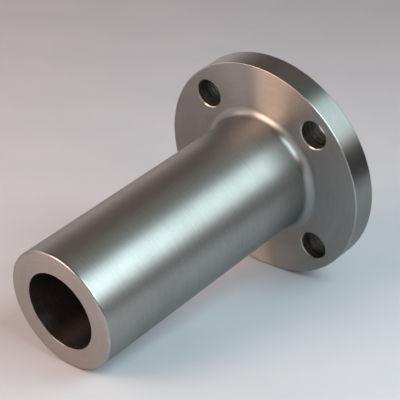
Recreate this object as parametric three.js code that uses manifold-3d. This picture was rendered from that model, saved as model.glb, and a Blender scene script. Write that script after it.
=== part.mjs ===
// Long weld neck pipe flange, NPS 2, class 150, raised face: one turned and drilled steel forging.
// A ring with four bolt holes carries a straight, thick-walled neck, whose far end is welded to a pipe.
// Millimetres. The bore axis is Y, with +Y from the raised face to the weld end, and +Z is up.
// The origin is on the bore axis, midway between the two end faces. The bolt holes straddle Z.
import * as THREE from "three";
import { mergeVertices } from "three/addons/utils/BufferGeometryUtils.js";
import Module from "manifold-3d";

const OVERALL_LENGTH = 203.2;
const NECK_DIAMETER = 79.2;
const BORE_DIAMETER = 50.8;
const FLANGE_DIAMETER = 152.4;
const FLANGE_THICKNESS = 19.05; // from the raised face to the side the nuts sit on
const RAISED_FACE_DIAMETER = 92.1;
const RAISED_FACE_HEIGHT = 1.6;
const BOLT_CIRCLE_DIAMETER = 120.65;
const BOLT_HOLE_DIAMETER = 19.05;
const BOLT_HOLE_COUNT = 4;
const HUB_FILLET_RADIUS = 6;
const EDGE_CHAMFER = 0.6; // on the rim, the raised face, the bore and the bolt holes
const WELD_END_CHAMFER = 1.2; // on the outside of the neck

const TURNED_SEGMENTS = 96;
const HOLE_SEGMENTS = 32;
const FILLET_STEPS = 6;
const CUT_OVERRUN = 1; // how far a cutter passes each face

const raisedFaceY = -OVERALL_LENGTH / 2;
const weldEndY = OVERALL_LENGTH / 2;
const ringBackY = raisedFaceY + RAISED_FACE_HEIGHT;
const ringFrontY = raisedFaceY + FLANGE_THICKNESS;

const wasm = await Module();
wasm.setup();

// The section of the forging, radius against height along the axis, closed on itself:
// out across the raised face, along the rim, in to the hub fillet, along the neck and back down the bore.
function forgingSection() {
  const boreRadius = BORE_DIAMETER / 2;
  const neckRadius = NECK_DIAMETER / 2;
  const raisedFaceRadius = RAISED_FACE_DIAMETER / 2;
  const rimRadius = FLANGE_DIAMETER / 2;
  const section = new THREE.Path();
  section.moveTo(boreRadius, raisedFaceY + EDGE_CHAMFER);
  section.lineTo(boreRadius + EDGE_CHAMFER, raisedFaceY);
  section.lineTo(raisedFaceRadius - EDGE_CHAMFER, raisedFaceY);
  section.lineTo(raisedFaceRadius, raisedFaceY + EDGE_CHAMFER);
  section.lineTo(raisedFaceRadius, ringBackY);
  section.lineTo(rimRadius - EDGE_CHAMFER, ringBackY);
  section.lineTo(rimRadius, ringBackY + EDGE_CHAMFER);
  section.lineTo(rimRadius, ringFrontY - EDGE_CHAMFER);
  section.lineTo(rimRadius - EDGE_CHAMFER, ringFrontY);
  section.lineTo(neckRadius + HUB_FILLET_RADIUS, ringFrontY);
  section.absarc(
    neckRadius + HUB_FILLET_RADIUS,
    ringFrontY + HUB_FILLET_RADIUS,
    HUB_FILLET_RADIUS,
    -Math.PI / 2,
    -Math.PI,
    true,
  );
  section.lineTo(neckRadius, weldEndY - WELD_END_CHAMFER);
  section.lineTo(neckRadius - WELD_END_CHAMFER, weldEndY);
  section.lineTo(boreRadius + EDGE_CHAMFER, weldEndY);
  section.lineTo(boreRadius, weldEndY - EDGE_CHAMFER);
  section.lineTo(boreRadius, raisedFaceY + EDGE_CHAMFER);
  return section.getPoints(FILLET_STEPS);
}

// The space one bolt hole takes out of the ring: a drilled hole that widens at each face into its chamfer.
function boltHoleCutter() {
  const holeRadius = BOLT_HOLE_DIAMETER / 2;
  const mouthRadius = holeRadius + EDGE_CHAMFER + CUT_OVERRUN;
  const section = [
    new THREE.Vector2(0, ringBackY - CUT_OVERRUN),
    new THREE.Vector2(mouthRadius, ringBackY - CUT_OVERRUN),
    new THREE.Vector2(holeRadius, ringBackY + EDGE_CHAMFER),
    new THREE.Vector2(holeRadius, ringFrontY - EDGE_CHAMFER),
    new THREE.Vector2(mouthRadius, ringFrontY + CUT_OVERRUN),
    new THREE.Vector2(0, ringFrontY + CUT_OVERRUN),
  ];
  return new THREE.LatheGeometry(section, HOLE_SEGMENTS);
}

function toSolid(geometry) {
  geometry.deleteAttribute("normal");
  geometry.deleteAttribute("uv");
  const merged = mergeVertices(geometry);
  return new wasm.Manifold(
    new wasm.Mesh({
      numProp: 3,
      vertProperties: merged.attributes.position.array,
      triVerts: new Uint32Array(merged.index.array),
    }),
  );
}

function toGeometry(solid) {
  const mesh = solid.getMesh();
  const geometry = new THREE.BufferGeometry();
  geometry.setAttribute("position", new THREE.BufferAttribute(mesh.vertProperties, 3));
  geometry.setIndex(new THREE.BufferAttribute(mesh.triVerts, 1));
  geometry.computeVertexNormals();
  return geometry;
}

function forgingGeometry() {
  let forging = toSolid(new THREE.LatheGeometry(forgingSection(), TURNED_SEGMENTS));
  for (let i = 0; i < BOLT_HOLE_COUNT; i++) {
    const angle = ((i + 0.5) * 2 * Math.PI) / BOLT_HOLE_COUNT;
    const x = (BOLT_CIRCLE_DIAMETER / 2) * Math.sin(angle);
    const z = (BOLT_CIRCLE_DIAMETER / 2) * Math.cos(angle);
    forging = forging.subtract(toSolid(boltHoleCutter().translate(x, 0, z)));
  }
  return toGeometry(forging);
}

const turnedSteel = new THREE.MeshStandardMaterial({
  color: 0x9a948c,
  roughness: 0.3,
  metalness: 1,
});

const weldNeckFlange = new THREE.Mesh(forgingGeometry(), turnedSteel);
weldNeckFlange.name = "weld_neck_flange";

const part = new THREE.Group();
part.add(weldNeckFlange);
export default part;
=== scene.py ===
"""A long weld neck flange, turned and drilled from one forging, lying on a pale table in soft light."""
import math

import bpy
from mathutils import Matrix, Vector


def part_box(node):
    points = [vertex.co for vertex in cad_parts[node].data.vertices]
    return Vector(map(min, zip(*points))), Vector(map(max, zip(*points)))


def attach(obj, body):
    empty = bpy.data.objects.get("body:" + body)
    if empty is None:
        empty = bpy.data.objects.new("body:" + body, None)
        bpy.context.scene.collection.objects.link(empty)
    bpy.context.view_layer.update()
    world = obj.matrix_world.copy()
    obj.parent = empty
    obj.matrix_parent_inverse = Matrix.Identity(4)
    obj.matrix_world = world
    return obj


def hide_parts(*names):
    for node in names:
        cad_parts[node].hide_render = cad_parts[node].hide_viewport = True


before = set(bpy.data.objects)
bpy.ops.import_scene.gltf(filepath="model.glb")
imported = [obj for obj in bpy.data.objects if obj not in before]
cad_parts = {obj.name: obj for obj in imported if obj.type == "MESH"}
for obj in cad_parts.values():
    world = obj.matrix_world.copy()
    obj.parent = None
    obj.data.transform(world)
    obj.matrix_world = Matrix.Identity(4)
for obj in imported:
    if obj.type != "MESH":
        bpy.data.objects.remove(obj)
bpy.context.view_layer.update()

NODE = "weld_neck_flange"

# The forging, in metres, with the bore axis along Y. Its ends and its outside come from the CAD node.
LOW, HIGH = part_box(NODE)
RAISED_FACE_Y = LOW.y
WELD_END_Y = HIGH.y
FLANGE_RADIUS = HIGH.x
NECK_RADIUS = 0.0396
BORE_RADIUS = 0.0254
FLANGE_THICKNESS = 0.01905
RAISED_FACE_RADIUS = 0.04605
RAISED_FACE_HEIGHT = 0.0016
BOLT_CIRCLE_RADIUS = 0.060325
BOLT_HOLE_RADIUS = 0.009525
BOLT_HOLE_COUNT = 4
HUB_FILLET_RADIUS = 0.006
RING_BACK_Y = RAISED_FACE_Y + RAISED_FACE_HEIGHT
RING_FRONT_Y = RAISED_FACE_Y + FLANGE_THICKNESS

# Worked edges, how far the drills pass each face of the ring, and the gasket finish.
RIM_EDGE_RADIUS = 0.0007
RAISED_EDGE_RADIUS = 0.0004
WELD_EDGE_RADIUS = 0.0014
BORE_EDGE_RADIUS = 0.0003
HOLE_CHAMFER = 0.0006
HOLE_OVERRUN = 0.002
SERRATION_PITCH = 0.0008
SERRATION_DEPTH = 0.00006
SERRATION_MARGIN = 0.0016

# Fineness of the mesh.
TURNED_SEGMENTS = 360
HOLE_SEGMENTS = 96
EDGE_STEPS = 6
FILLET_STEPS = 20
SHARP_ANGLE = math.radians(32)

# How it lies: on the rim and on the edge of the weld end, turned a little about its own axis.
LEAN = math.atan2(FLANGE_RADIUS - NECK_RADIUS, WELD_END_Y - WELD_EDGE_RADIUS - RING_FRONT_Y)
ROLL = math.radians(6.6)
UP = Vector(
    (
        math.sin(ROLL) * math.cos(LEAN),
        -math.sin(LEAN),
        math.cos(ROLL) * math.cos(LEAN),
    )
)

# The photograph's point of view: where the camera stands, what it aims at, and its lens. The lens and the
# sensor are in millimetres, the rest in metres.
CAMERA_PLACE = Vector((-0.4935, 0.5111, 0.5165))
CAMERA_AIM = Vector((-0.0045, -0.0175, 0.0140))
CAMERA_LENS = 127.8
CAMERA_SENSOR = 36.0
CAMERA_NEAR_CLIP = 0.01

# The marks of turning and of drilling, in metres.
FEED = 0.0004
LINE_LENGTH = 0.033
FEEDS_PER_BAND = 5
BAND_LENGTH = 0.083
GROOVE_DEPTH = 0.000003
DRILL_FEED = 0.0011
DRILL_GROOVE_DEPTH = 0.00004

# How many of each pattern there are to a metre, and how finely the clouds break up.
CLOUDS_PER_METRE = 28.0
CLOUD_DETAIL = 4.0
GRAINS_PER_METRE = 550.0
WEAVES_PER_METRE = 900.0
TABLE_CLOUDS_PER_METRE = 14.0
TABLE_CLOUD_DETAIL = 6.0

# How much each pattern weighs in the tone of the metal. Noise keeps close to 0.5, so a pattern's own range,
# not 0 to 1, is spread over a material's colours and gloss.
LINE_WEIGHT = 0.35
BAND_WEIGHT = 0.13
CLOUD_WEIGHT = 0.34
GRAIN_WEIGHT = 0.18
TONE_RANGE = (0.37, 0.63)
TABLE_CLOUD_RANGE = (0.3, 0.7)

# The grooves run round the axis and spread the gloss across themselves, a quarter of a turn away.
ACROSS_THE_GROOVES = 0.25

# The room, by the sine of the angle above the table: pale walls under a dim warm ceiling.
ROOM = (
    (0.0, (0.5, 0.42, 0.42, 1.0)),
    (0.12, (0.72, 0.61, 0.61, 1.0)),
    (0.42, (0.66, 0.56, 0.56, 1.0)),
    (0.56, (0.08, 0.068, 0.064, 1.0)),
    (1.0, (0.08, 0.068, 0.064, 1.0)),
)

# The soft lights: a window, a warm lamp, three paler patches of the room, and a fill that the metal doesn't
# mirror. Azimuth is in degrees to the right of the camera, elevation in degrees above the table.
SOFTBOXES = {
    "window": {
        "azimuth": 53,
        "elevation": 42.5,
        "distance": 0.85,
        "size": (0.98, 0.56),
        "tint": (0.77, 0.965, 1.0),
        "radiance": 4.4,
        "mirrored": True,
    },
    "lamp": {
        "azimuth": -64,
        "elevation": 29,
        "distance": 1.2,
        "size": (0.65, 0.83),
        "tint": (1.0, 0.645, 0.49),
        "radiance": 6.2,
        "mirrored": True,
    },
    "side_wall": {
        "azimuth": -104,
        "elevation": 25,
        "distance": 1.3,
        "size": (0.6, 0.5),
        "tint": (1.0, 0.8, 0.73),
        "radiance": 1.45,
        "mirrored": True,
    },
    "back_wall": {
        "azimuth": -170,
        "elevation": 15,
        "distance": 1.5,
        "size": (1.4, 0.5),
        "tint": (1.0, 0.91, 0.9),
        "radiance": 0.4,
        "mirrored": True,
    },
    "ceiling": {
        "azimuth": 135,
        "elevation": 70,
        "distance": 1.2,
        "size": (0.6, 0.3),
        "tint": (0.9, 0.97, 1.0),
        "radiance": 0.45,
        "mirrored": True,
    },
    "fill": {
        "azimuth": -110,
        "elevation": 45,
        "distance": 1.3,
        "size": (1.2, 1.2),
        "tint": (1.0, 0.82, 0.77),
        "radiance": 0.8,
        "mirrored": False,
    },
}

# The dark card that the metal mirrors on the right, a painted dark reflection of the shaded room under the
# window, and the table top.
CARD_AZIMUTH = 75
CARD_DISTANCE = 0.45
CARD_HEIGHT_ABOVE_AXIS = 0.035
CARD_SIZE = (1.6, 0.2)
TABLE_SIZE = (2.4, 2.4)


# The shape

def rounded_corner(corner, outward, size, start, finish):
    """Section points round an outer corner, a quarter turn anticlockwise from angle start."""
    centre_radius = corner[0] - outward[0] * size
    centre_y = corner[1] - outward[1] * size
    points = []
    for step in range(EDGE_STEPS + 1):
        angle = math.radians(start + 90 * step / EDGE_STEPS)
        along = finish if step == EDGE_STEPS else "edge"
        points.append((centre_radius + size * math.cos(angle), centre_y + size * math.sin(angle), along))
    return points


def serrations():
    """The gasket finish of the raised face: fine grooves, as a zigzag along the radius."""
    inner = BORE_RADIUS + SERRATION_MARGIN
    outer = RAISED_FACE_RADIUS - SERRATION_MARGIN
    count = round((outer - inner) / SERRATION_PITCH)
    points = []
    for groove in range(count):
        crest = inner + groove * SERRATION_PITCH
        points.append((crest, RAISED_FACE_Y, "serrated"))
        points.append((crest + SERRATION_PITCH / 2, RAISED_FACE_Y + SERRATION_DEPTH, "serrated"))
    points.append((inner + count * SERRATION_PITCH, RAISED_FACE_Y, "faced"))
    return points


def hub_fillet():
    """The quarter circle that runs the ring's front face into the neck."""
    centre_radius = NECK_RADIUS + HUB_FILLET_RADIUS
    centre_y = RING_FRONT_Y + HUB_FILLET_RADIUS
    points = []
    for step in range(FILLET_STEPS + 1):
        angle = math.radians(-90 - 90 * step / FILLET_STEPS)
        along = "neck" if step == FILLET_STEPS else "fillet"
        radius = centre_radius + HUB_FILLET_RADIUS * math.cos(angle)
        points.append((radius, centre_y + HUB_FILLET_RADIUS * math.sin(angle), along))
    return points


def forging_section():
    """The closed section, anticlockwise: (radius, y, finish of the stretch that follows)."""
    return [
        *rounded_corner((BORE_RADIUS, RAISED_FACE_Y), (-1, -1), BORE_EDGE_RADIUS, 180, "faced"),
        *serrations(),
        *rounded_corner((RAISED_FACE_RADIUS, RAISED_FACE_Y), (1, -1), RAISED_EDGE_RADIUS, -90, "faced"),
        (RAISED_FACE_RADIUS, RING_BACK_Y, "faced"),
        *rounded_corner((FLANGE_RADIUS, RING_BACK_Y), (1, -1), RIM_EDGE_RADIUS, -90, "rim"),
        *rounded_corner((FLANGE_RADIUS, RING_FRONT_Y), (1, 1), RIM_EDGE_RADIUS, 0, "faced"),
        *hub_fillet(),
        *rounded_corner((NECK_RADIUS, WELD_END_Y), (1, 1), WELD_EDGE_RADIUS, 0, "end"),
        *rounded_corner((BORE_RADIUS, WELD_END_Y), (-1, 1), BORE_EDGE_RADIUS, 90, "bore"),
    ]


def drill_section():
    """Half the outline of one drill, with the countersink that breaks each edge of its hole."""
    flare = BOLT_HOLE_RADIUS + HOLE_CHAMFER + HOLE_OVERRUN
    return [
        (flare, RING_BACK_Y - HOLE_OVERRUN, "edge"),
        (BOLT_HOLE_RADIUS, RING_BACK_Y + HOLE_CHAMFER, "drilled"),
        (BOLT_HOLE_RADIUS, RING_FRONT_Y - HOLE_CHAMFER, "edge"),
        (flare, RING_FRONT_Y + HOLE_OVERRUN, "edge"),
    ]


class Turning:
    """Vertices, faces and their finishes, gathered from sections swept round axes parallel to Y."""

    def __init__(self):
        self.vertices = []
        self.faces = []
        self.finishes = []

    def sweep(self, section, segments, centre=(0.0, 0.0), closed=True):
        """Adds a section swept round the axis at centre (x, z). An open one is capped at both ends."""
        first = len(self.vertices)
        count = len(section)
        for segment in range(segments):
            angle = 2 * math.pi * segment / segments
            for radius, y, _ in section:
                x = centre[0] + radius * math.cos(angle)
                z = centre[1] + radius * math.sin(angle)
                self.vertices.append((x, y, z))
        for segment in range(segments):
            here = first + segment * count
            there = first + (segment + 1) % segments * count
            for point in range(count if closed else count - 1):
                after = (point + 1) % count
                self.faces.append((here + point, here + after, there + after, there + point))
                self.finishes.append(section[point][2])
        if not closed:
            starts = [first + segment * count for segment in range(segments)]
            self.faces.append(tuple(starts))
            self.faces.append(tuple(start + count - 1 for start in reversed(starts)))
            self.finishes += [section[0][2], section[-1][2]]

    def as_object(self, name, materials):
        """An object of everything swept so far, with a slot for each finish in materials."""
        mesh = bpy.data.meshes.new(name)
        mesh.from_pydata(self.vertices, [], self.faces)
        for material in materials.values():
            mesh.materials.append(material)
        order = list(materials)
        mesh.polygons.foreach_set("material_index", [order.index(finish) for finish in self.finishes])
        mesh.update()
        made = bpy.data.objects.new(name, mesh)
        bpy.context.scene.collection.objects.link(made)
        return made


def drills(materials):
    """The four bolt holes as solids, spaced evenly round the bolt circle and straddling Z."""
    turning = Turning()
    for number in range(BOLT_HOLE_COUNT):
        angle = 2 * math.pi * (number + 0.5) / BOLT_HOLE_COUNT
        centre = (BOLT_CIRCLE_RADIUS * math.cos(angle), BOLT_CIRCLE_RADIUS * math.sin(angle))
        turning.sweep(drill_section(), HOLE_SEGMENTS, centre, closed=False)
    return turning.as_object("drills", materials)


def forging(materials):
    """The turned and drilled forging as one mesh, smooth but for its real edges."""
    turning = Turning()
    turning.sweep(forging_section(), TURNED_SEGMENTS)
    made = turning.as_object("turned_flange", materials)
    tools = drills(materials)
    cut = made.modifiers.new("bolt_holes", "BOOLEAN")
    cut.operation = "DIFFERENCE"
    cut.solver = "EXACT"
    cut.object = tools
    graph = bpy.context.evaluated_depsgraph_get()
    drilled = bpy.data.meshes.new_from_object(made.evaluated_get(graph))
    made.modifiers.clear()
    made.data = drilled
    bpy.data.objects.remove(tools)
    drilled.shade_smooth()
    drilled.set_sharp_from_angle(angle=SHARP_ANGLE)
    level = made.modifiers.new("level_faces", "WEIGHTED_NORMAL")
    level.keep_sharp = True
    return made


# The finishes

class Finish:
    """A material around one Principled shader, with short calls for the nodes that drive it."""

    def __init__(self, name):
        self.material = bpy.data.materials.new(name)
        self.material.use_nodes = True
        self.tree = self.material.node_tree
        self.shader = self.tree.nodes["Principled BSDF"]

    def add(self, kind, inputs, **settings):
        """A new node with its settings and inputs. An input is a value, or a socket to link."""
        made = self.tree.nodes.new(kind)
        for name, value in settings.items():
            setattr(made, name, value)
        for name, value in inputs.items():
            self.feed(made.inputs[name], value)
        return made

    def feed(self, socket, value):
        if isinstance(value, bpy.types.NodeSocket):
            self.tree.links.new(value, socket)
        else:
            socket.default_value = value

    def set(self, **values):
        """Feeds the shader's own inputs, named with underscores for spaces."""
        for name, value in values.items():
            self.feed(self.shader.inputs[name.replace("_", " ")], value)

    def maths(self, operation, first, second):
        return self.add("ShaderNodeMath", {0: first, 1: second}, operation=operation).outputs[0]

    def vector(self, x, y, z):
        return self.add("ShaderNodeCombineXYZ", {0: x, 1: y, 2: z}).outputs[0]

    def weighted_sum(self, terms):
        """The sum of (socket, weight) pairs."""
        total = 0.0
        for socket, weight in terms:
            total = self.maths("ADD", self.maths("MULTIPLY", socket, weight), total)
        return total

    def spread(self, value, low, high, source):
        """The value, taken from the source range to the range low to high, and held inside it."""
        ranges = {"From Min": source[0], "From Max": source[1], "To Min": low, "To Max": high}
        return self.add("ShaderNodeMapRange", {"Value": value, **ranges}).outputs[0]

    def noise(self, vector, scale, detail=2.0):
        inputs = {"Vector": vector, "Scale": scale, "Detail": detail}
        return self.add("ShaderNodeTexNoise", inputs).outputs[0]

    def blend(self, factor, first, second):
        """Two colours blended. Inputs 0, 6 and 7 of a colour Mix node are its factor, A and B."""
        return self.add("ShaderNodeMix", {0: factor, 6: first, 7: second}, data_type="RGBA").outputs[2]

    def place(self):
        """Object coordinates: (vector, x, y, z)."""
        vector = self.add("ShaderNodeTexCoord", {}).outputs["Object"]
        split = self.add("ShaderNodeSeparateXYZ", {0: vector})
        return vector, split.outputs[0], split.outputs[1], split.outputs[2]


def colour(red, green, blue):
    return (red, green, blue, 1.0)


def tool_marks(finish, faced, feed):
    """(lines, tone): the fine lines that turning leaves and the mottle of the metal, both near 0.5."""
    place, x, y, z = finish.place()
    across = y
    if faced:
        spoke = {0: finish.vector(x, 0.0, z)}
        across = finish.add("ShaderNodeVectorMath", spoke, operation="LENGTH").outputs["Value"]

    def lay(pitch, length):
        """Noise that changes with each pitch across the grooves and with each length along them."""
        steps = finish.maths("DIVIDE", across, pitch)
        along_x = finish.maths("DIVIDE", x, length)
        along_z = finish.maths("DIVIDE", z, length)
        return finish.noise(finish.vector(steps, along_x, along_z), 1.0)

    lines = lay(feed, LINE_LENGTH)
    tone = finish.weighted_sum(
        [
            (lines, LINE_WEIGHT),
            (lay(feed * FEEDS_PER_BAND, BAND_LENGTH), BAND_WEIGHT),
            (finish.noise(place, CLOUDS_PER_METRE, CLOUD_DETAIL), CLOUD_WEIGHT),
            (finish.noise(place, GRAINS_PER_METRE), GRAIN_WEIGHT),
        ]
    )
    return lines, tone


def turned_steel(
    name,
    faced=False,
    light=colour(0.385, 0.39, 0.375),
    dark=colour(0.315, 0.32, 0.305),
    roughness=(0.40, 0.45),
    anisotropy=0.7,
    feed=FEED,
    groove=GROOVE_DEPTH,
    grazing=0.6,
):
    """Steel with the circular lay of turning in its colour, gloss and height. It dims at grazing angles."""
    finish = Finish(name)
    lines, tone = tool_marks(finish, faced, feed)
    finish.set(
        Base_Color=finish.blend(finish.spread(tone, 0.0, 1.0, TONE_RANGE), dark, light),
        Roughness=finish.spread(tone, roughness[1], roughness[0], TONE_RANGE),
        Normal=finish.add("ShaderNodeBump", {"Height": lines, "Distance": groove}).outputs[0],
        Tangent=finish.add("ShaderNodeTangent", {}, direction_type="RADIAL", axis="Y").outputs[0],
        Metallic=1.0,
        Anisotropic=anisotropy,
        Anisotropic_Rotation=ACROSS_THE_GROOVES,
        Specular_Tint=colour(grazing, grazing, grazing),
    )
    return finish.material


def forging_finishes():
    """The material of each finish that the section names, in the mesh's slot order."""
    return {
        "neck": turned_steel("turned_neck", roughness=(0.42, 0.47), anisotropy=0.4),
        "fillet": turned_steel("turned_fillet", roughness=(0.33, 0.37), anisotropy=0.75),
        "faced": turned_steel(
            "faced_steel",
            faced=True,
            light=colour(0.39, 0.383, 0.362),
            dark=colour(0.32, 0.313, 0.294),
            roughness=(0.36, 0.4),
            anisotropy=1.0,
        ),
        # The weld end is lighter and warmer than the other faced steel: painted warm light, the reflection
        # of the warm table and lamp.
        "end": turned_steel(
            "faced_end_painted_warm_light",
            faced=True,
            light=colour(0.5, 0.452, 0.418),
            dark=colour(0.42, 0.378, 0.35),
            roughness=(0.44, 0.5),
            anisotropy=0.3,
        ),
        # The rim is a darker copy of the turned steel: painted shade that dims its highlight.
        "rim": turned_steel(
            "turned_rim_painted_shade",
            light=colour(0.29, 0.295, 0.28),
            dark=colour(0.24, 0.245, 0.23),
            roughness=(0.36, 0.41),
            anisotropy=0.75,
            grazing=0.9,
        ),
        # The worked edges are lighter than the faces: painted highlight that brightens their glints.
        "edge": turned_steel(
            "worked_edge_painted_glint",
            light=colour(0.52, 0.50, 0.47),
            roughness=(0.25, 0.32),
            anisotropy=0.2,
        ),
        # The bore is painted near black, far darker than steel: painted shade inside the recess.
        "bore": turned_steel(
            "bored_steel_painted_shade",
            light=colour(0.155, 0.13, 0.12),
            dark=colour(0.063, 0.053, 0.048),
        ),
        "serrated": turned_steel("gasket_finish", faced=True, anisotropy=0.3),
        # The bolt holes are painted near black, far darker than steel: painted shade inside the holes.
        "drilled": turned_steel(
            "drilled_steel_painted_shade",
            light=colour(0.18, 0.16, 0.14),
            dark=colour(0.028, 0.023, 0.02),
            roughness=(0.65, 0.8),
            anisotropy=0.0,
            feed=DRILL_FEED,
            groove=DRILL_GROOVE_DEPTH,
        ),
    }


def painted_dark_reflection():
    """The dark card's covering, finely woven, which paints the shade of the room under the window into the
    metal's reflections.
    """
    finish = Finish("painted_dark_reflection")
    weave = finish.noise(finish.place()[0], WEAVES_PER_METRE)
    finish.set(
        Base_Color=finish.blend(weave, colour(0.02, 0.02, 0.02), colour(0.05, 0.045, 0.04)),
        Roughness=0.9,
    )
    return finish.material


def pale_table_top():
    """A matte, pale, faintly clouded surface."""
    finish = Finish("pale_table_top")
    clouds = finish.noise(finish.place()[0], TABLE_CLOUDS_PER_METRE, TABLE_CLOUD_DETAIL)
    tone = finish.spread(clouds, 0.0, 1.0, TABLE_CLOUD_RANGE)
    finish.set(
        Base_Color=finish.blend(tone, colour(0.575, 0.605, 0.65), colour(0.615, 0.635, 0.675)),
        Roughness=0.8,
        Specular_IOR_Level=0.0,
    )
    return finish.material


# The studio

def aimed(place, target):
    """A matrix at place whose -Z looks at target, with the table's normal upright."""
    back = (place - target).normalized()
    right = UP.cross(back).normalized()
    up = back.cross(right)
    return Matrix.Translation(place) @ Matrix((right, up, back)).transposed().to_4x4()


def add_camera():
    """The camera, at the photograph's point of view."""
    data = bpy.data.cameras.new("photograph")
    data.lens = CAMERA_LENS
    data.sensor_width = CAMERA_SENSOR
    data.clip_start = CAMERA_NEAR_CLIP
    camera = bpy.data.objects.new("photograph", data)
    camera.matrix_world = aimed(CAMERA_PLACE, CAMERA_AIM)
    bpy.context.scene.collection.objects.link(camera)
    bpy.context.scene.camera = camera


def direction(azimuth, elevation):
    """A direction from the object, in degrees to the right of the camera and above the table."""
    turn = math.radians(azimuth)
    rise = math.radians(elevation)
    toward = (CAMERA_PLACE - UP * CAMERA_PLACE.dot(UP)).normalized()
    right = UP.cross(toward)
    level = toward * math.cos(turn) + right * math.sin(turn)
    return level * math.cos(rise) + UP * math.sin(rise)


def add_softbox(name, azimuth, elevation, distance, size, tint, radiance, mirrored):
    """A rectangular lamp that looks at the object. Its power follows from its radiance and area."""
    data = bpy.data.lights.new(name, "AREA")
    data.shape = "RECTANGLE"
    data.size, data.size_y = size
    data.color = tint
    data.energy = radiance * math.pi * size[0] * size[1]
    lamp = bpy.data.objects.new(name, data)
    lamp.matrix_world = aimed(direction(azimuth, elevation) * distance, Vector((0, 0, 0)))
    lamp.visible_camera = False
    lamp.visible_glossy = mirrored
    bpy.context.scene.collection.objects.link(lamp)


def add_room():
    """The room, as a gradient over the height above the table."""
    world = bpy.data.worlds.new("room")
    world.use_nodes = True
    bpy.context.scene.world = world
    tree = world.node_tree
    place = tree.nodes.new("ShaderNodeTexCoord")
    height = tree.nodes.new("ShaderNodeVectorMath")
    height.operation = "DOT_PRODUCT"
    height.inputs[1].default_value = UP
    tree.links.new(place.outputs["Generated"], height.inputs[0])
    ramp = tree.nodes.new("ShaderNodeValToRGB")
    tree.links.new(height.outputs["Value"], ramp.inputs[0])
    tree.links.new(ramp.outputs[0], tree.nodes["Background"].inputs["Color"])
    stops = ramp.color_ramp.elements
    stops.remove(stops[1])
    stops[0].position, stops[0].color = ROOM[0]
    for position, tint in ROOM[1:]:
        stops.new(position).color = tint


def add_sheet(name, size, place, material):
    """A flat rectangle in the XY plane of the matrix place, which isn't part of the object."""
    x = size[0] / 2
    y = size[1] / 2
    mesh = bpy.data.meshes.new(name)
    mesh.from_pydata([(-x, -y, 0), (x, -y, 0), (x, y, 0), (-x, y, 0)], [], [(0, 1, 2, 3)])
    mesh.materials.append(material)
    sheet = bpy.data.objects.new(name, mesh)
    sheet.matrix_world = place
    bpy.context.scene.collection.objects.link(sheet)
    return sheet


def add_dark_card():
    """A dark card beyond the table's right side, seen only in reflections, under the window: a painted
    reflection of the shaded room there.
    """
    level = UP * CARD_HEIGHT_ABOVE_AXIS
    place = aimed(direction(CARD_AZIMUTH, 0) * CARD_DISTANCE + level, level)
    card = add_sheet("dark_card", CARD_SIZE, place, painted_dark_reflection())
    card.visible_camera = False
    card.visible_diffuse = False
    card.visible_shadow = False


def add_table(standing):
    """The table top, level under the lowest point of the object standing on it."""
    height = min(UP.dot(vertex.co) for vertex in standing.data.vertices)
    place = Matrix.Translation(UP * height) @ UP.to_track_quat("Z", "Y").to_matrix().to_4x4()
    add_sheet("table", TABLE_SIZE, place, pale_table_top())


def main():
    flange = forging(forging_finishes())
    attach(flange, "root")
    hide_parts(NODE)
    add_table(flange)
    add_room()
    add_dark_card()
    for name, settings in SOFTBOXES.items():
        add_softbox(name, **settings)
    add_camera()
    bpy.context.scene.view_settings.view_transform = "Standard"


main()
